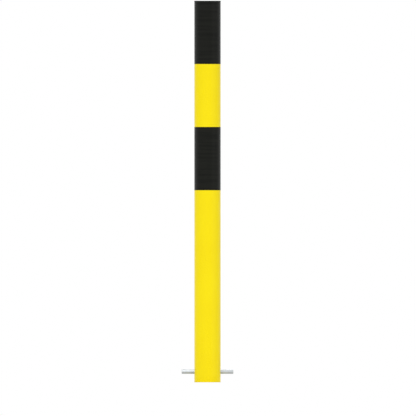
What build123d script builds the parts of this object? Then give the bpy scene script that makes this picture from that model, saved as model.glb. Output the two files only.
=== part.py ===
"""In-ground bollard: a round steel post with two black bands, a push-in end cap and a ground anchor bar.

Millimetres, +Z up. The origin is on the post's axis at ground level, so what is set in concrete
lies below Z = 0. The anchor bar runs along X. The seams of the tube and of the bands face +Y, the back.
"""

import os
from math import cos, degrees, radians, sin

from build123d import *

# The post and the ground
height_above_ground = 900.0
depth_in_ground = 300.0

# Round steel tube, rolled from strip and welded along its length
tube_diameter = 82.5
tube_wall = 2.6
foot_edge_break = 0.5
weld_bead_width = 4.0
weld_bead_height = 0.6

# Ground anchor: a loose round bar, pushed through two holes near the tube's foot
anchor_bar_diameter = 14.0
anchor_bar_reach = 40.0  # what stands out of the tube on each side
anchor_bar_end_chamfer = 1.0
anchor_hole_height = 34.0  # from the tube's foot to the middle of the holes
anchor_hole_clearance = 0.5  # between the bar and the hole all round, if the bar lay in the middle
anchor_hole_edge_break = 0.5
anchor_seat_gap = 0.05  # between the bar and the lower edge of the holes, on which it lies

# Two black bands. The upper one is film below the cap's black head, the lower one is film alone.
band_width = 199.0
band_spacing = 198.0  # of yellow between the two bands
film_thickness = 0.1
glue_thickness = 0.05  # between the film and the tube
film_lap = 12.0  # how far the film's end runs over its beginning
film_lap_ramp = 1.5  # how long the film takes to climb on to its beginning

# End cap, moulded in one piece: a flat head, a hollow plug, gripping fins and two crossed ribs
head_thickness = 4.0
head_overhang = 0.05  # past the lap of the film below it
head_edge_radius = 1.0
plug_length = 26.0
plug_wall = 2.0
plug_lead_in_length = 2.5
plug_lead_in_depth = 0.8
head_to_first_fin = 4.0
fin_pitch = 5.5
fin_length = 2.6  # from the plug out to the fin's tip
fin_root_thickness = 2.0
fin_tip_thickness = 0.8
fin_to_bore_gap = 0.05
bead_notch_clearance = 0.4  # between the tube's weld bead and the notch that it presses into the fins
rib_thickness = 1.8
rib_setback = 7.0  # from the lower end of the plug up to the ribs

# Places that follow from the sizes above
tube_radius = tube_diameter / 2
bore_radius = tube_radius - tube_wall
tube_foot = -depth_in_ground
tube_top = height_above_ground - head_thickness
anchor_bar_radius = anchor_bar_diameter / 2
anchor_hole_radius = anchor_bar_radius + anchor_hole_clearance
anchor_hole_z = tube_foot + anchor_hole_height
anchor_bar_z = anchor_hole_z - anchor_hole_clearance + anchor_seat_gap
upper_band_bottom = height_above_ground - band_width
lower_band_top = upper_band_bottom - band_spacing
film_inner_radius = tube_radius + glue_thickness
single_film_radius = film_inner_radius + film_thickness
double_film_radius = single_film_radius + film_thickness
head_radius = double_film_radius + head_overhang
fin_tip_radius = bore_radius - fin_to_bore_gap
plug_radius = fin_tip_radius - fin_length
plug_bore_radius = plug_radius - plug_wall
plug_wall_middle = (plug_radius + plug_bore_radius) / 2
first_to_last_fin = plug_length - plug_lead_in_length - fin_root_thickness - head_to_first_fin
fin_count = 1 + int(first_to_last_fin / fin_pitch)
rib_depth = plug_length - rib_setback


def weld_bead_disc(clearance=0.0):
    """A disc across the tube's wall at the back. What it shows of itself inside the bore is the bead."""
    half_width = weld_bead_width / 2
    disc_radius = (half_width**2 + weld_bead_height**2) / (2 * weld_bead_height)
    disc_centre_y = bore_radius - weld_bead_height + disc_radius
    return Pos(0, disc_centre_y) * Circle(disc_radius + clearance)


def make_post_tube():
    """The tube with the weld bead along its bore and the two cross-drilled holes near its foot."""
    solid_section = Circle(tube_radius)
    bead = weld_bead_disc() & solid_section
    section = solid_section - Circle(bore_radius) + bead
    tube = Pos(0, 0, tube_foot) * extrude(section, tube_top - tube_foot)

    foot_edges = tube.edges().filter_by(GeomType.CIRCLE).group_by(Axis.Z)[0]
    outer_foot_edge = foot_edges.sort_by(SortBy.RADIUS)[-1]
    tube = chamfer(outer_foot_edge, foot_edge_break)

    drill = Pos(0, 0, anchor_hole_z) * Rot(0, 90, 0) * Cylinder(anchor_hole_radius, 2 * tube_diameter)
    tube -= drill
    hole_rims = tube.edges().filter_by(GeomType.BSPLINE).sort_by(Axis.X)
    outer_rims = [hole_rims[0], hole_rims[-1]]
    return chamfer(outer_rims, anchor_hole_edge_break)


def make_ground_anchor():
    """A plain round bar with chamfered ends, lying on the lower edges of the holes in the tube."""
    bar = Cylinder(anchor_bar_radius, tube_diameter + 2 * anchor_bar_reach)
    bar = chamfer(bar.edges().filter_by(GeomType.CIRCLE), anchor_bar_end_chamfer)
    return Pos(0, 0, anchor_bar_z) * Rot(0, 90, 0) * bar


def make_film_band(bottom, top):
    """A strip of film, stuck once round the tube. At the back its end climbs on to its beginning."""
    back = 90.0
    lap_start = back - degrees(film_lap / 2 / single_film_radius)
    lap_end = back + degrees(film_lap / 2 / single_film_radius)
    ramp_start = lap_start - degrees(film_lap_ramp / single_film_radius)

    def on_circle(radius, angle):
        return radius * cos(radians(angle)), radius * sin(radians(angle))

    ramp_foot = on_circle(single_film_radius, ramp_start)
    ramp_top = on_circle(double_film_radius, lap_start)
    free_end_outside = on_circle(double_film_radius, lap_end)
    free_end_inside = on_circle(single_film_radius, lap_end)
    outside = [
        Line(ramp_foot, ramp_top),
        ThreePointArc(ramp_top, on_circle(double_film_radius, back), free_end_outside),
        Line(free_end_outside, free_end_inside),
        ThreePointArc(free_end_inside, on_circle(single_film_radius, -back), ramp_foot),
    ]
    section = make_face(outside) - Circle(film_inner_radius)
    return Pos(0, 0, bottom) * extrude(section, top - bottom)


def half_section_of_cap():
    """The head, the plug's wall and the fins, in the XZ plane, with the underside of the head at Z = 0."""
    head = Polygon(
        (0, 0),
        (head_radius, 0),
        (head_radius, head_thickness),
        (0, head_thickness),
        align=None,
    )
    plug = Polygon(
        (plug_bore_radius, 0),
        (plug_bore_radius, -plug_length),
        (plug_radius - plug_lead_in_depth, -plug_length),
        (plug_radius, plug_lead_in_length - plug_length),
        (plug_radius, 0),
        align=None,
    )
    half_section = head + plug
    for number in range(fin_count):
        fin_top = -head_to_first_fin - number * fin_pitch
        half_section += Polygon(
            (plug_wall_middle, fin_top),
            (fin_tip_radius, fin_top),
            (fin_tip_radius, fin_top - fin_tip_thickness),
            (plug_radius, fin_top - fin_root_thickness),
            (plug_wall_middle, fin_top - fin_root_thickness),
            align=None,
        )
    return Plane.XZ * half_section


def make_end_cap():
    """The moulded cap, with its head seated on the end of the tube and its plug down the bore."""
    cap = revolve(half_section_of_cap(), Axis.Z)
    top_rim = cap.edges().filter_by(GeomType.CIRCLE).group_by(Axis.Z)[-1]
    cap = fillet(top_rim, head_edge_radius)

    crossed_ribs = Rectangle(2 * plug_radius, rib_thickness) + Rectangle(rib_thickness, 2 * plug_radius)
    cap += extrude(crossed_ribs & Circle(plug_wall_middle), -rib_depth)

    cap -= extrude(weld_bead_disc(bead_notch_clearance), -plug_length)
    return Pos(0, 0, tube_top) * cap


def main():
    parts = {
        "post_tube": make_post_tube(),
        "ground_anchor": make_ground_anchor(),
        "upper_black_band": make_film_band(upper_band_bottom, tube_top),
        "lower_black_band": make_film_band(lower_band_top - band_width, lower_band_top),
        "end_cap": make_end_cap(),
    }
    os.makedirs("parts", exist_ok=True)
    for name, shape in parts.items():
        export_step(shape, f"parts/{name}.step")


main()
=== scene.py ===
# An in-ground bollard as it leaves the works: a steel tube with a yellow powder coat, two wraps of black
# film, a moulded cap pressed into its upper end and a zinc-plated bar through its foot.

from math import atan2, cos, hypot, pi, radians, sin

import bmesh
import bpy
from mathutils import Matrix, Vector


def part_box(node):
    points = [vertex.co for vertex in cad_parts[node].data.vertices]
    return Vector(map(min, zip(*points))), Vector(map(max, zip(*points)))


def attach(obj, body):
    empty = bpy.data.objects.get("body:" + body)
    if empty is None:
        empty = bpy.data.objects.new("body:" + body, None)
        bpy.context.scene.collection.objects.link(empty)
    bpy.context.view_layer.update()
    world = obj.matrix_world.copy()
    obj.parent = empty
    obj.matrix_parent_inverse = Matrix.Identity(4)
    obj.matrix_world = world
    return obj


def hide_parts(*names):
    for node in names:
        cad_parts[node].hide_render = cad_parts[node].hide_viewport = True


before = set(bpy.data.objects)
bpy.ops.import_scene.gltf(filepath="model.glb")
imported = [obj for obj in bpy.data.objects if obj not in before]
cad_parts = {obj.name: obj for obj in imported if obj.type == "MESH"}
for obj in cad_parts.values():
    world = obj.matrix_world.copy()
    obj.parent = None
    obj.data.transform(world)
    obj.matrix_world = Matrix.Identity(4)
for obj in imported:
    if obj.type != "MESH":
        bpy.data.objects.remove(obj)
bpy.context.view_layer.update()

# Sizes, in metres
MM = 0.001

# The photograph: its frame in pixels, its scale, and where the post's axis and foot lie in it
FRAME_PX = 416
MM_PER_PX = 3.145
AXIS_PX = 207.5
FOOT_PX = 382.3

# How far off the camera stands, in metres. It has no perspective, so the picture doesn't depend on it.
CAMERA_DISTANCE = 4.0

# Places that the frame gives
tube_low, tube_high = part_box("post_tube")
bar_low, bar_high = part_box("ground_anchor")
cap_low, cap_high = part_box("end_cap")
FOOT = tube_low.z
TUBE_TOP = tube_high.z
TUBE_RADIUS = (tube_high.x - tube_low.x) / 2
BAR_RADIUS = (bar_high.z - bar_low.z) / 2
BAR_LENGTH = bar_high.x - bar_low.x
BAR_HEIGHT = (bar_high.z + bar_low.z) / 2
CAP_RADIUS = (cap_high.x - cap_low.x) / 2
CAP_TOP = cap_high.z
PLUG_END = cap_low.z

# Sizes of the pieces that their boxes don't give
TUBE_WALL = 2.6 * MM
FOOT_EDGE = 0.5 * MM
FOOT_EDGE_MIDDLE = 0.15 * MM  # in from both faces, halfway round the edge
BEAD_WIDTH = 4.0 * MM
BEAD_HEIGHT = 0.6 * MM
SEAM_FLAT_WIDTH = 4.5 * MM
HOLE_CLEARANCE = 0.5 * MM
BAR_SEAT_GAP = 0.05 * MM
HOLE_EDGE = 0.5 * MM
BAR_CHAMFER = 1.0 * MM
BAR_EDGE = 0.15 * MM
GLUE_THICKNESS = 0.05 * MM
FILM_THICKNESS = 0.1 * MM
FILM_LAP = 12.0 * MM
FILM_RAMP = 1.5 * MM
LAP_GAP = 0.01 * MM
CAP_EDGE = 1.0 * MM
GATE_RADIUS = 1.5 * MM
GATE_DEPTH = 0.3 * MM
PLUG_WALL = 2.0 * MM
LEAD_IN_LENGTH = 2.5 * MM
LEAD_IN_DEPTH = 0.8 * MM
HEAD_TO_FIRST_FIN = 4.0 * MM
FIN_PITCH = 5.5 * MM
FIN_COUNT = 4
FIN_LENGTH = 2.6 * MM
FIN_ROOT = 2.0 * MM
FIN_TIP = 0.8 * MM
FIN_TO_BORE = 0.05 * MM
RIB_THICKNESS = 1.8 * MM
RIB_SETBACK = 7.0 * MM
RIB_ROOT = 1.0 * MM
NOTCH_CLEARANCE = 0.4 * MM

BORE_RADIUS = TUBE_RADIUS - TUBE_WALL
HOLE_RADIUS = BAR_RADIUS + HOLE_CLEARANCE
HOLE_HEIGHT = BAR_HEIGHT + HOLE_CLEARANCE - BAR_SEAT_GAP
FILM_INSIDE = TUBE_RADIUS + GLUE_THICKNESS

# Steps round the post, the bar and the holes, fine enough that their outlines stay round
ROUND_STEPS = 256
ROD_STEPS = 96
HOLE_STEPS = 72

# The tube's lines of vertices: the angle from one to the next, and those that the weld takes in, counted from
# the middle of the back
LINE_STEP = 2 * pi / ROUND_STEPS
WELD_LINES = range(-2, 3)

# Vertices closer than this are one: where a profile closes, and in the slivers beside a cut
SAME_PLACE = 0.01 * MM
SLIVER = 0.03 * MM

# How far the middle of a facet may lie from the bore's true radius
BORE_MARGIN = 0.1 * MM

# The least share along X of the normals of the drill's curved ends, and of the bar's flat ones
DRILL_END = 0.9
BAR_END = 0.99

SMOOTH_ANGLE = radians(35)
ALONG_X = (0, radians(90), 0)

# The map that the materials are baked through: its name, the angle past which faces lie apart on it, and the
# shares of it that stay free between them and along each edge
BAKE_MAP = "OFBake"
MAP_FOLD = radians(66)
MAP_GAP = 0.004
MAP_EDGE = 0.005

# The floor's width in metres, the white room's light on the object, and how wide each lamp looks
FLOOR_WIDTH = 80
ROOM_LIGHT = 0.51
LAMP_WIDTH = radians(35)


def deselect_all():
    """Operators act on all that is selected, and the frame's own nodes are when they have been loaded."""
    bpy.ops.object.select_all(action="DESELECT")


def make_camera():
    """Level and square to the post, without perspective, as the drawing shows it."""
    camera = bpy.data.objects.new("camera", bpy.data.cameras.new("camera"))
    camera.data.type = "ORTHO"
    camera.data.ortho_scale = FRAME_PX * MM_PER_PX * MM
    across = (FRAME_PX / 2 - AXIS_PX) * MM_PER_PX * MM
    up = FOOT + (FOOT_PX - FRAME_PX / 2) * MM_PER_PX * MM
    camera.location = (across, -CAMERA_DISTANCE, up)
    camera.rotation_euler = (radians(90), 0, 0)
    bpy.context.scene.collection.objects.link(camera)
    bpy.context.scene.camera = camera


make_camera()


# Modelling


def activate(piece):
    """Only this piece is selected and active."""
    deselect_all()
    piece.select_set(True)
    bpy.context.view_layer.objects.active = piece


def select_vertices(test):
    """In edit mode, selects the vertices whose place passes the test, and nothing else."""
    mesh = bpy.context.object.data
    bpy.ops.mesh.select_mode(type="VERT")
    bpy.ops.mesh.select_all(action="DESELECT")
    edit = bmesh.from_edit_mesh(mesh)
    for vertex in edit.verts:
        vertex.select_set(test(vertex.co))
    edit.select_flush_mode()
    bmesh.update_edit_mesh(mesh)


def select_faces(test):
    """In edit mode, selects the faces whose normal passes the test, and nothing else."""
    mesh = bpy.context.object.data
    bpy.ops.mesh.select_mode(type="FACE")
    bpy.ops.mesh.select_all(action="DESELECT")
    edit = bmesh.from_edit_mesh(mesh)
    for face in edit.faces:
        face.select_set(test(face.normal))
    bmesh.update_edit_mesh(mesh)


def add_cylinder(radius, length, steps, place, turned=(0, 0, 0)):
    """A cylinder with its place in its mesh."""
    deselect_all()
    bpy.ops.mesh.primitive_cylinder_add(
        vertices=steps, radius=radius, depth=length, location=place, rotation=turned
    )
    bpy.ops.object.transform_apply()
    return bpy.context.object


def turn(name, profile, ring=False):
    """A piece turned about the post's axis: a circle, extruded and resized from one radius and height of its
    profile to the next. A ring's profile ends where it began, and any other piece is closed at both ends."""
    radius, height = profile[0]
    deselect_all()
    bpy.ops.mesh.primitive_circle_add(
        vertices=ROUND_STEPS,
        radius=radius,
        fill_type="NOTHING" if ring else "NGON",
        location=(0, 0, height),
    )
    piece = bpy.context.object
    piece.name = name
    bpy.ops.object.transform_apply()
    bpy.ops.object.mode_set(mode="EDIT")
    bpy.ops.mesh.select_all(action="SELECT")
    for next_radius, next_height in profile[1:]:
        rise = {"value": (0, 0, next_height - height)}
        bpy.ops.mesh.extrude_region_move(TRANSFORM_OT_translate=rise)
        spread = next_radius / radius
        bpy.ops.transform.resize(value=(spread, spread, 1), center_override=(0, 0, next_height))
        radius, height = next_radius, next_height
    bpy.ops.mesh.select_all(action="SELECT")
    bpy.ops.mesh.remove_doubles(threshold=SAME_PLACE)
    bpy.ops.mesh.normals_make_consistent(inside=False)
    bpy.ops.object.mode_set(mode="OBJECT")
    return piece


def rounded(radius, height, size, start, steps=4):
    """A quarter round of a profile, of that size, about the point (radius, height), from an angle on."""
    angles = [radians(start + 90 * step / steps) for step in range(steps + 1)]
    return [(radius + size * cos(angle), height + size * sin(angle)) for angle in angles]


def bevel(piece, width, segments):
    """Bevels the piece's sharp edges."""
    activate(piece)
    edges = piece.modifiers.new("edges", "BEVEL")
    edges.width = width
    edges.segments = segments
    edges.limit_method = "ANGLE"
    bpy.ops.object.modifier_apply(modifier=edges.name)


def put_in_order(piece):
    """Numbers the piece's vertices by their places, begins each face at its lowest number, and sorts the
    faces by those numbers. Nothing moves."""
    mesh = piece.data
    places = [tuple(vertex.co) for vertex in mesh.vertices]
    order = sorted(range(len(places)), key=places.__getitem__)
    new_numbers = {old: new for new, old in enumerate(order)}
    faces = []
    for face in mesh.polygons:
        corners = [new_numbers[old] for old in face.vertices]
        first = corners.index(min(corners))
        faces.append(corners[first:] + corners[:first])
    mesh.clear_geometry()
    mesh.from_pydata([places[old] for old in order], [], sorted(faces))


def combine(piece, tool, operation):
    """Joins a tool to the piece or cuts it out, and takes the tool away. The boolean leaves the same faces in
    another order on each run, so they are put in order."""
    activate(piece)
    boolean = piece.modifiers.new("combine", "BOOLEAN")
    boolean.object = tool
    boolean.operation = operation
    boolean.solver = "EXACT"
    bpy.ops.object.modifier_apply(modifier=boolean.name)
    bpy.data.objects.remove(tool)
    put_in_order(piece)


def lay_flat(piece):
    """Lays the active piece's faces flat on a map, under the name that a bake of the materials looks for. A
    bake leaves a dark seam where a face touches the map's edge, so none does."""
    bpy.ops.object.mode_set(mode="EDIT")
    bpy.ops.mesh.select_all(action="SELECT")
    bpy.ops.uv.smart_project(angle_limit=MAP_FOLD, island_margin=MAP_GAP, scale_to_bounds=True)
    bpy.ops.object.mode_set(mode="OBJECT")
    bake_map = piece.data.uv_layers.active
    bake_map.name = BAKE_MAP
    for corner in bake_map.uv:
        corner.vector = (1 - 2 * MAP_EDGE) * corner.vector + Vector((MAP_EDGE, MAP_EDGE))


def finish_piece(piece, slot, *materials):
    """The piece rides on the body, and gets its map and its materials. Its slot is not used."""
    activate(piece)
    bpy.ops.object.transform_apply()
    bpy.ops.object.shade_smooth_by_angle(angle=SMOOTH_ANGLE)
    lay_flat(piece)
    for material in materials:
        piece.data.materials.append(material)
    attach(piece, "root")


# Materials


def linear(colour):
    """An sRGB colour such as "#FDE507" as the linear colour that the shader reads."""
    channels = [int(colour[place : place + 2], 16) / 255 for place in (1, 3, 5)]
    return [c / 12.92 if c <= 0.04045 else ((c + 0.055) / 1.055) ** 2.4 for c in channels] + [1]


def add_node(tree, kind, settings=None, links=None):
    """Adds a node. A setting is one of the node's own values, or a socket's where the key is a socket's name
    or number, and a link feeds a socket from an output. A Mix node takes colours at 6 and 7 and gives the
    mixed one at 2, or takes numbers at 2 and 3 and gives the mixed one at 0."""
    node = tree.nodes.new(kind)
    for key, value in (settings or {}).items():
        if isinstance(key, str) and hasattr(node, key):
            setattr(node, key, value)
        else:
            node.inputs[key].default_value = value
    for key, output in (links or {}).items():
        tree.links.new(output, node.inputs[key])
    return node


def new_material(name, **settings):
    """A material whose shader has these uniform values, keyed by its sockets' names without their spaces."""
    material = bpy.data.materials.new(name)
    material.use_nodes = True
    tree = material.node_tree
    shader = tree.nodes["Principled BSDF"]
    sockets = {socket.name.replace(" ", ""): socket for socket in shader.inputs}
    for key, value in settings.items():
        sockets[key].default_value = value
    place = add_node(tree, "ShaderNodeTexCoord").outputs["Object"]
    return material, tree, shader, place


def powder_coat():
    """Polyester powder, sprayed dry and baked. The eye sees one clean, deep yellow skin with a satin gloss,
    which the faint orange peel of the baked powder breaks up. At the back the planed weld shows through."""
    material, tree, shader, place = new_material("yellow_polyester_powder_coat", SpecularIORLevel=0.15)

    # Where the powder lies thinner the yellow is a trace paler. Such patches are about a hand across.
    build_up = add_node(tree, "ShaderNodeTexNoise", {"Scale": 1 / (90 * MM), "Detail": 2}, {"Vector": place})
    # Orange peel is about 2 mm from crest to crest. It is drawn at 5 mm and deeper than it is, so that the
    # render can show it.
    peel = add_node(tree, "ShaderNodeTexNoise", {"Scale": 1 / (5 * MM), "Detail": 1}, {"Vector": place})

    # Planing left straight marks along the weld, about 0.4 mm apart. They are drawn at 1.2 mm, and run out
    # at both sides of the flat.
    squeezed = add_node(tree, "ShaderNodeMapping", {"Scale": (1, 1, 1 / 80)}, {"Vector": place})
    planing = add_node(
        tree, "ShaderNodeTexNoise", {"Scale": 1 / (1.2 * MM), "Detail": 1}, {"Vector": squeezed.outputs[0]}
    )
    split = add_node(tree, "ShaderNodeSeparateXYZ", {}, {0: place})
    off_weld = add_node(tree, "ShaderNodeMath", {"operation": "ABSOLUTE"}, {0: split.outputs["X"]})
    run_out = 0.6 * MM
    on_flat = add_node(
        tree,
        "ShaderNodeMapRange",
        {"From Min": SEAM_FLAT_WIDTH / 2 + run_out, "From Max": SEAM_FLAT_WIDTH / 2 - run_out},
        {"Value": off_weld.outputs[0]},
    )
    at_back = add_node(tree, "ShaderNodeMath", {"operation": "GREATER_THAN", 1: 0.0}, {0: split.outputs["Y"]})
    weld = add_node(
        tree, "ShaderNodeMath", {"operation": "MULTIPLY"}, {0: on_flat.outputs[0], 1: at_back.outputs[0]}
    )
    relief = add_node(
        tree,
        "ShaderNodeMix",
        {"data_type": "FLOAT"},
        {0: weld.outputs[0], 2: peel.outputs[0], 3: planing.outputs[0]},
    )

    # The relief's crests, of the peel and of the planing marks, are painted paler too, by about a third as
    # much
    # as the patches: painted light that makes the relief show.
    depth = add_node(
        tree,
        "ShaderNodeMath",
        {"operation": "MULTIPLY_ADD", 1: 0.35},
        {0: relief.outputs[0], 2: build_up.outputs[0]},
    )
    colour = add_node(
        tree,
        "ShaderNodeMix",
        {"data_type": "RGBA", 6: linear("#FADF04"), 7: linear("#FFE90A")},
        {0: depth.outputs[0]},
    )
    tree.links.new(colour.outputs[2], shader.inputs["Base Color"])
    gloss = add_node(
        tree, "ShaderNodeMapRange", {"To Min": 0.30, "To Max": 0.42}, {"Value": relief.outputs[0]}
    )
    tree.links.new(gloss.outputs[0], shader.inputs["Roughness"])
    bump = add_node(
        tree,
        "ShaderNodeBump",
        {"Strength": 1.0, "Distance": 0.8 * MM},
        {"Height": relief.outputs[0]},
    )
    tree.links.new(bump.outputs[0], shader.inputs["Normal"])
    return material


def zinc_with_overspray():
    """The bore, which keeps the strip's zinc. The eye sees dull grey metal in cloudy flakes and, near the
    open foot, yellow powder that drifted in and thins out upwards."""
    material, tree, shader, place = new_material("zinc_coated_strip_with_overspray")

    flakes = add_node(tree, "ShaderNodeTexVoronoi", {"Scale": 1 / (9 * MM)}, {"Vector": place})
    flake_tone = add_node(tree, "ShaderNodeSeparateColor", {}, {0: flakes.outputs["Color"]})
    zinc = add_node(
        tree,
        "ShaderNodeMix",
        {"data_type": "RGBA", 6: linear("#8B9094"), 7: linear("#A9ADB0")},
        {0: flake_tone.outputs[0]},
    )

    # The powder reaches about a tube's width into the bore, and its edge is ragged.
    split = add_node(tree, "ShaderNodeSeparateXYZ", {}, {0: place})
    drift = add_node(tree, "ShaderNodeTexNoise", {"Scale": 1 / (14 * MM), "Detail": 4}, {"Vector": place})
    height = add_node(
        tree,
        "ShaderNodeMapRange",
        {"From Min": FOOT + 2 * TUBE_RADIUS, "From Max": FOOT, "To Min": -0.35, "To Max": 1.3},
        {"Value": split.outputs["Z"]},
    )
    powder = add_node(
        tree,
        "ShaderNodeMath",
        {"operation": "ADD", "use_clamp": True},
        {0: height.outputs[0], 1: drift.outputs[0]},
    )
    ragged = add_node(
        tree, "ShaderNodeMapRange", {"From Min": 0.35, "From Max": 1.0}, {"Value": powder.outputs[0]}
    )
    colour = add_node(
        tree,
        "ShaderNodeMix",
        {"data_type": "RGBA", 7: linear("#E9CF12")},
        {0: ragged.outputs[0], 6: zinc.outputs[2]},
    )
    tree.links.new(colour.outputs[2], shader.inputs["Base Color"])
    metal = add_node(
        tree, "ShaderNodeMapRange", {"To Min": 0.9, "To Max": 0.0}, {"Value": ragged.outputs[0]}
    )
    tree.links.new(metal.outputs[0], shader.inputs["Metallic"])
    gloss = add_node(
        tree, "ShaderNodeMapRange", {"To Min": 0.42, "To Max": 0.62}, {"Value": drift.outputs[0]}
    )
    tree.links.new(gloss.outputs[0], shader.inputs["Roughness"])
    return material


def vinyl_film():
    """Cast vinyl film, smoothed on round the post with a squeegee. The eye sees a deep black with a silky
    gloss, faint lines round the post from the strokes, whose sheen is painted into the colour, the coat's
    orange peel, softened, and the cut end, painted as a pale highlight line."""
    material, tree, shader, place = new_material("black_cast_vinyl_film", SpecularIORLevel=0.1)
    # Strokes are 3 to 8 mm wide. They are twenty times as long as that, so the pattern is squeezed there.
    squeezed = add_node(tree, "ShaderNodeMapping", {"Scale": (1 / 20, 1 / 20, 1)}, {"Vector": place})
    strokes = add_node(
        tree, "ShaderNodeTexNoise", {"Scale": 1 / (6 * MM), "Detail": 2}, {"Vector": squeezed.outputs[0]}
    )
    # The strokes' sheen is painted into the colour: where the stroke pattern is high, the black is a trace
    # paler.
    painted_stroke_sheen = add_node(
        tree, "ShaderNodeMapRange", {"From Min": 0.35, "From Max": 0.65}, {"Value": strokes.outputs[0]}
    )
    black = add_node(
        tree,
        "ShaderNodeMix",
        {"data_type": "RGBA", 6: linear("#11120F"), 7: linear("#191A16")},
        {0: painted_stroke_sheen.outputs[0]},
    )

    # At the back the film's cut end, 0.1 mm high, catches the light. That light is painted as a pale
    # highlight line.
    half_line = 0.25 * MM
    split = add_node(tree, "ShaderNodeSeparateXYZ", {}, {0: place})
    at_end = add_node(
        tree,
        "ShaderNodeMath",
        {"operation": "COMPARE", 1: -FILM_LAP / 2, 2: half_line},
        {0: split.outputs["X"]},
    )
    at_back = add_node(tree, "ShaderNodeMath", {"operation": "GREATER_THAN", 1: 0.0}, {0: split.outputs["Y"]})
    cut_end_highlight = add_node(
        tree, "ShaderNodeMath", {"operation": "MULTIPLY"}, {0: at_end.outputs[0], 1: at_back.outputs[0]}
    )
    # The painted highlight of the cut end, mixed over the black
    colour = add_node(
        tree,
        "ShaderNodeMix",
        {"data_type": "RGBA", 7: linear("#2E2F2B")},
        {0: cut_end_highlight.outputs[0], 6: black.outputs[2]},
    )
    tree.links.new(colour.outputs[2], shader.inputs["Base Color"])

    gloss = add_node(
        tree, "ShaderNodeMapRange", {"To Min": 0.26, "To Max": 0.44}, {"Value": strokes.outputs[0]}
    )
    tree.links.new(gloss.outputs[0], shader.inputs["Roughness"])
    peel = add_node(tree, "ShaderNodeTexNoise", {"Scale": 1 / (7 * MM), "Detail": 1}, {"Vector": place})
    # The strokes stand out half as far as the peel.
    relief = add_node(
        tree,
        "ShaderNodeMath",
        {"operation": "MULTIPLY_ADD", 1: 0.5},
        {0: strokes.outputs[0], 2: peel.outputs[0]},
    )
    bump = add_node(
        tree,
        "ShaderNodeBump",
        {"Strength": 1.0, "Distance": 0.12 * MM},
        {"Height": relief.outputs[0]},
    )
    tree.links.new(bump.outputs[0], shader.inputs["Normal"])
    return material


def moulded_cap_plastic():
    """Polyethylene, injection moulded in a spark-eroded tool. The eye sees a dull black with a fine, even
    grain, a little greyer than the film."""
    material, tree, shader, place = new_material("black_moulded_polyethylene", SpecularIORLevel=0.15)
    # The tool's pits are about 0.1 mm wide. They are drawn at 1.5 mm, so that the render can show them.
    grain = add_node(tree, "ShaderNodeTexNoise", {"Scale": 1 / (1.5 * MM), "Detail": 2}, {"Vector": place})
    colour = add_node(
        tree,
        "ShaderNodeMix",
        {"data_type": "RGBA", 6: linear("#121310"), 7: linear("#1C1D19")},
        {0: grain.outputs[0]},
    )
    tree.links.new(colour.outputs[2], shader.inputs["Base Color"])
    gloss = add_node(
        tree, "ShaderNodeMapRange", {"To Min": 0.48, "To Max": 0.62}, {"Value": grain.outputs[0]}
    )
    tree.links.new(gloss.outputs[0], shader.inputs["Roughness"])
    bump = add_node(
        tree,
        "ShaderNodeBump",
        {"Strength": 1.0, "Distance": 0.15 * MM},
        {"Height": grain.outputs[0]},
    )
    tree.links.new(bump.outputs[0], shader.inputs["Normal"])
    return material


def zinc_plate(name, squeeze):
    """Steel with bright zinc plate over the marks that its making left. The eye sees pale, cool metal,
    faintly cloudy from the bath, with fine straight lines: drawing lines along the bar, saw lines across its
    ends."""
    material, tree, shader, place = new_material(name, Metallic=1.0)
    # Lines are about 0.2 mm wide. They are drawn at 0.9 mm, so that the render can show them.
    squeezed = add_node(tree, "ShaderNodeMapping", {"Scale": squeeze}, {"Vector": place})
    lines = add_node(
        tree, "ShaderNodeTexNoise", {"Scale": 1 / (0.9 * MM), "Detail": 2}, {"Vector": squeezed.outputs[0]}
    )
    cloud = add_node(tree, "ShaderNodeTexNoise", {"Scale": 1 / (18 * MM), "Detail": 3}, {"Vector": place})
    # The lines' tone counts for a little less than the clouds'.
    tone = add_node(
        tree,
        "ShaderNodeMath",
        {"operation": "MULTIPLY_ADD", 1: 0.6, "use_clamp": True},
        {0: lines.outputs[0], 2: cloud.outputs[0]},
    )
    colour = add_node(
        tree,
        "ShaderNodeMix",
        {"data_type": "RGBA", 6: linear("#989FA6"), 7: linear("#C6CACD")},
        {0: tone.outputs[0]},
    )
    tree.links.new(colour.outputs[2], shader.inputs["Base Color"])
    gloss = add_node(
        tree, "ShaderNodeMapRange", {"To Min": 0.34, "To Max": 0.54}, {"Value": lines.outputs[0]}
    )
    tree.links.new(gloss.outputs[0], shader.inputs["Roughness"])
    bump = add_node(
        tree,
        "ShaderNodeBump",
        {"Strength": 1.0, "Distance": 0.06 * MM},
        {"Height": lines.outputs[0]},
    )
    tree.links.new(bump.outputs[0], shader.inputs["Normal"])
    return material


# Pieces


def make_drill():
    """Both holes of the anchor bar, as one solid to cut away. Its ends follow the tube's wall from a little
    below its surface and flare out from there, which breaks the holes' outer edges."""
    middle = (0, 0, HOLE_HEIGHT)
    drill = add_cylinder(HOLE_RADIUS, 4 * TUBE_RADIUS, HOLE_STEPS, middle, ALONG_X)
    combine(drill, add_cylinder(TUBE_RADIUS - HOLE_EDGE, 4 * HOLE_RADIUS, ROUND_STEPS, middle), "INTERSECT")
    bpy.ops.object.mode_set(mode="EDIT")
    spread = 1 + 2 * HOLE_EDGE / HOLE_RADIUS
    for side in (-1, 1):
        select_faces(lambda normal: side * normal.x > DRILL_END)
        out = {"value": (side * 2 * HOLE_EDGE, 0, 0)}
        bpy.ops.mesh.extrude_region_move(TRANSFORM_OT_translate=out)
        bpy.ops.transform.resize(value=(1, spread, spread), center_override=middle)
    bpy.ops.object.mode_set(mode="OBJECT")
    return drill


def on_line(place, line, outside):
    """Whether a vertex is on that line of the tube's back, on the outside or in the bore."""
    off_line = atan2(place.y, place.x) - pi / 2 - line * LINE_STEP
    return abs(off_line) < LINE_STEP / 4 and (hypot(*place.xy) > TUBE_RADIUS - TUBE_WALL / 2) == outside


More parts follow.
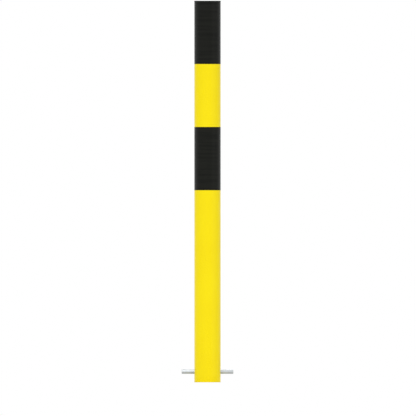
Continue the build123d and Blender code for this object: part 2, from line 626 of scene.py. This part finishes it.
def shape_weld():
    """In edit mode. The weld was planed off outside, which left a narrow flat, and was left on inside as a
    low round ridge. Each line of vertices there moves inwards as far as that takes."""
    for line in WELD_LINES:
        off_middle = line * LINE_STEP
        flat = cos(SEAM_FLAT_WIDTH / 2 / TUBE_RADIUS) / cos(off_middle)
        across_bead = off_middle * BORE_RADIUS / (BEAD_WIDTH / 2)
        ridge = 1 - BEAD_HEIGHT * (1 - across_bead**2) / BORE_RADIUS
        for outside, inwards in ((True, flat), (False, ridge)):
            select_vertices(lambda place: on_line(place, line, outside))
            bpy.ops.transform.resize(value=(inwards, inwards, 1), center_override=(0, 0, 0))


def in_bore(face):
    """Whether a face is part of the bore's wall, and not of a sawn end or a hole."""
    upright = abs(face.normal.z) < 0.5
    return upright and hypot(*face.center.xy) < BORE_RADIUS + BORE_MARGIN


def make_tube():
    """The tube, with a broken edge at its foot, the weld's traces along its back and the bar's two holes."""
    hole_band = 2 * HOLE_RADIUS
    outside = [
        (TUBE_RADIUS - FOOT_EDGE, FOOT),
        (TUBE_RADIUS - FOOT_EDGE_MIDDLE, FOOT + FOOT_EDGE_MIDDLE),
        (TUBE_RADIUS, FOOT + FOOT_EDGE),
        (TUBE_RADIUS, HOLE_HEIGHT - hole_band),
        (TUBE_RADIUS, HOLE_HEIGHT + hole_band),
        (TUBE_RADIUS, TUBE_TOP),
    ]
    inside = [
        (BORE_RADIUS, TUBE_TOP),
        (BORE_RADIUS, HOLE_HEIGHT + hole_band),
        (BORE_RADIUS, HOLE_HEIGHT - hole_band),
        (BORE_RADIUS, FOOT),
    ]
    tube = turn("tube", outside + inside + outside[:1], ring=True)

    bpy.ops.object.mode_set(mode="EDIT")
    shape_weld()
    bpy.ops.object.mode_set(mode="OBJECT")

    combine(tube, make_drill(), "DIFFERENCE")
    bpy.ops.object.mode_set(mode="EDIT")
    bpy.ops.mesh.select_all(action="SELECT")
    bpy.ops.mesh.remove_doubles(threshold=SLIVER)
    bpy.ops.object.mode_set(mode="OBJECT")

    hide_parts("post_tube")
    finish_piece(tube, "yellow_coated_steel", powder_coat(), zinc_with_overspray())
    for face in filter(in_bore, tube.data.polygons):
        face.material_index = 1


def make_film_band(node):
    """One strip of film, laid round the tube from the back, with its end on top of its beginning."""
    low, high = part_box(node)
    middle = (low.z + high.z) / 2
    width = high.z - low.z
    lap = FILM_LAP / FILM_INSIDE
    ramp = FILM_RAMP / FILM_INSIDE
    start = pi / 2 - lap / 2
    lap_steps = round(lap / LINE_STEP)
    second_layer = FILM_INSIDE + FILM_THICKNESS + LAP_GAP

    # A plane, edge on to the tube, gives the strip's first edge. The rest of the plane goes.
    deselect_all()
    plane_middle = FILM_INSIDE + width / 2
    bpy.ops.mesh.primitive_plane_add(
        size=width,
        location=(plane_middle * cos(start), plane_middle * sin(start), middle),
        rotation=(radians(90), 0, start),
    )
    band = bpy.context.object
    band.name = f"{node}_film"
    bpy.ops.object.transform_apply()
    bpy.ops.object.mode_set(mode="EDIT")
    select_vertices(lambda place: hypot(*place.xy) > plane_middle)
    bpy.ops.mesh.delete(type="VERT")

    # Once round to the ramp, up it, and on over the beginning
    bpy.ops.mesh.select_all(action="SELECT")
    about_axis = {"center": (0, 0, 0), "axis": (0, 0, -1), "use_auto_merge": False}
    bpy.ops.mesh.spin(steps=ROUND_STEPS, angle=2 * pi - ramp, **about_axis)
    bpy.ops.mesh.spin(steps=1, angle=ramp, **about_axis)
    outwards = second_layer / FILM_INSIDE
    bpy.ops.transform.resize(value=(outwards, outwards, 1), center_override=(0, 0, 0))
    bpy.ops.mesh.spin(steps=lap_steps, angle=lap, **about_axis)
    bpy.ops.mesh.select_all(action="SELECT")
    bpy.ops.mesh.normals_make_consistent(inside=False)
    bpy.ops.object.mode_set(mode="OBJECT")

    thickness = band.modifiers.new("thickness", "SOLIDIFY")
    thickness.thickness = FILM_THICKNESS
    thickness.offset = 1
    activate(band)
    bpy.ops.object.modifier_apply(modifier=thickness.name)
    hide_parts(node)
    return band


def make_anchor_bar():
    """A bar cut to length, its ends chamfered and the chamfers' edges broken."""
    bar = add_cylinder(BAR_RADIUS, BAR_LENGTH, ROD_STEPS, (0, 0, BAR_HEIGHT), ALONG_X)
    bar.name = "anchor_bar"
    bevel(bar, BAR_CHAMFER, segments=1)
    bevel(bar, BAR_EDGE, segments=2)
    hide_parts("ground_anchor")
    drawn = zinc_plate("zinc_plated_drawn_steel", squeeze=(1 / 40, 1, 1))
    sawn = zinc_plate("zinc_plated_sawn_steel", squeeze=(1, 1 / 40, 1))
    finish_piece(bar, "zinc_plated_steel", drawn, sawn)
    for face in bar.data.polygons:
        if abs(face.normal.x) > BAR_END:
            face.material_index = 1


def make_cap():
    """The cap: a flat head with a rounded rim, on a hollow plug with gripping fins and crossed ribs."""
    fin_radius = BORE_RADIUS - FIN_TO_BORE
    plug_radius = fin_radius - FIN_LENGTH
    plug_bore = plug_radius - PLUG_WALL
    # A ring a little inside the rounded rim keeps the top's shading flat.
    flat_radius = CAP_RADIUS - 3 * CAP_EDGE
    profile = [
        (GATE_RADIUS, CAP_TOP - GATE_DEPTH),
        (GATE_RADIUS + GATE_DEPTH, CAP_TOP),
        (flat_radius, CAP_TOP),
    ]
    profile += reversed(rounded(CAP_RADIUS - CAP_EDGE, CAP_TOP - CAP_EDGE, CAP_EDGE, start=0))
    profile += [(CAP_RADIUS, TUBE_TOP), (plug_radius, TUBE_TOP)]
    for number in range(FIN_COUNT):
        fin_top = TUBE_TOP - HEAD_TO_FIRST_FIN - number * FIN_PITCH
        profile += [
            (plug_radius, fin_top),
            (fin_radius, fin_top),
            (fin_radius, fin_top - FIN_TIP),
            (plug_radius, fin_top - FIN_ROOT),
        ]
    profile += [
        (plug_radius, PLUG_END + LEAD_IN_LENGTH),
        (plug_radius - LEAD_IN_DEPTH, PLUG_END),
        (plug_bore, PLUG_END),
        (plug_bore, TUBE_TOP),
    ]
    cap = turn("cap", profile)

    # The ribs are rooted in the plug's wall and in the head.
    rib_height = TUBE_TOP + RIB_ROOT - (PLUG_END + RIB_SETBACK)
    for turned in (0, radians(90)):
        deselect_all()
        bpy.ops.mesh.primitive_cube_add(
            size=1,
            location=(0, 0, TUBE_TOP + RIB_ROOT - rib_height / 2),
            rotation=(0, 0, turned),
            scale=(2 * plug_bore + PLUG_WALL, RIB_THICKNESS, rib_height),
        )
        combine(cap, bpy.context.object, "UNION")

    # The weld bead presses a notch into the fins. What cuts it has its middle at the plug's end and reaches
    # past the first fin.
    bead_curve = (BEAD_WIDTH**2 / 4 + BEAD_HEIGHT**2) / (2 * BEAD_HEIGHT)
    notch_place = (0, BORE_RADIUS - BEAD_HEIGHT + bead_curve, PLUG_END)
    notch_length = 2 * (TUBE_TOP - HEAD_TO_FIRST_FIN / 2 - PLUG_END)
    notch = add_cylinder(bead_curve + NOTCH_CLEARANCE, notch_length, ROD_STEPS, notch_place)
    combine(cap, notch, "DIFFERENCE")

    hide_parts("end_cap")
    finish_piece(cap, "black_moulded_plastic", moulded_cap_plastic())


make_tube()
film = vinyl_film()
for node in ("upper_black_band", "lower_black_band"):
    finish_piece(make_film_band(node), "black_film", film)
make_anchor_bar()
make_cap()


# Floor, world and lamps


def make_floor():
    """A plain pale floor that runs out of every view."""
    deselect_all()
    bpy.ops.mesh.primitive_plane_add(size=FLOOR_WIDTH, location=(0, 0, FOOT))
    floor = bpy.context.object
    floor.name = "floor"
    material, _, shader, _ = new_material(
        "pale_studio_floor", BaseColor=linear("#F4F4F2"), Roughness=0.9, SpecularIORLevel=0.1
    )
    floor.data.materials.append(material)


def make_world():
    """Soft, even light, in front of which the camera, metal and gloss see a plain white room."""
    world = bpy.data.worlds.new("studio")
    world.use_nodes = True
    bpy.context.scene.world = world
    tree = world.node_tree
    tree.nodes.clear()
    path = add_node(tree, "ShaderNodeLightPath").outputs
    seen = add_node(
        tree,
        "ShaderNodeMath",
        {"operation": "MAXIMUM"},
        {0: path["Is Camera Ray"], 1: path["Is Glossy Ray"]},
    )
    seen = add_node(
        tree,
        "ShaderNodeMath",
        {"operation": "MAXIMUM"},
        {0: seen.outputs[0], 1: path["Is Transmission Ray"]},
    )
    light = add_node(tree, "ShaderNodeBackground", {"Color": (1, 1, 1, 1), "Strength": ROOM_LIGHT})
    room = add_node(tree, "ShaderNodeBackground", {"Color": (1, 1, 1, 1), "Strength": 1.0})
    mix = add_node(
        tree, "ShaderNodeMixShader", {}, {0: seen.outputs[0], 1: light.outputs[0], 2: room.outputs[0]}
    )
    add_node(tree, "ShaderNodeOutputWorld", {}, {0: mix.outputs[0]})


def make_lamp(name, azimuth, elevation, strength):
    """A soft lamp, so far away that it lights the post evenly from top to foot. Azimuths are in degrees
    from the front, and go to the right."""
    lamp = bpy.data.objects.new(name, bpy.data.lights.new(name, "SUN"))
    lamp.data.angle = LAMP_WIDTH
    lamp.data.energy = strength
    lamp.rotation_euler = (radians(90 - elevation), 0, radians(azimuth))
    bpy.context.scene.collection.objects.link(lamp)


make_floor()
make_world()
make_lamp("key", azimuth=-25, elevation=40, strength=1.1)
make_lamp("fill", azimuth=55, elevation=20, strength=0.42)
make_lamp("back", azimuth=165, elevation=35, strength=0.85)
bpy.context.scene.view_settings.view_transform = "Standard"
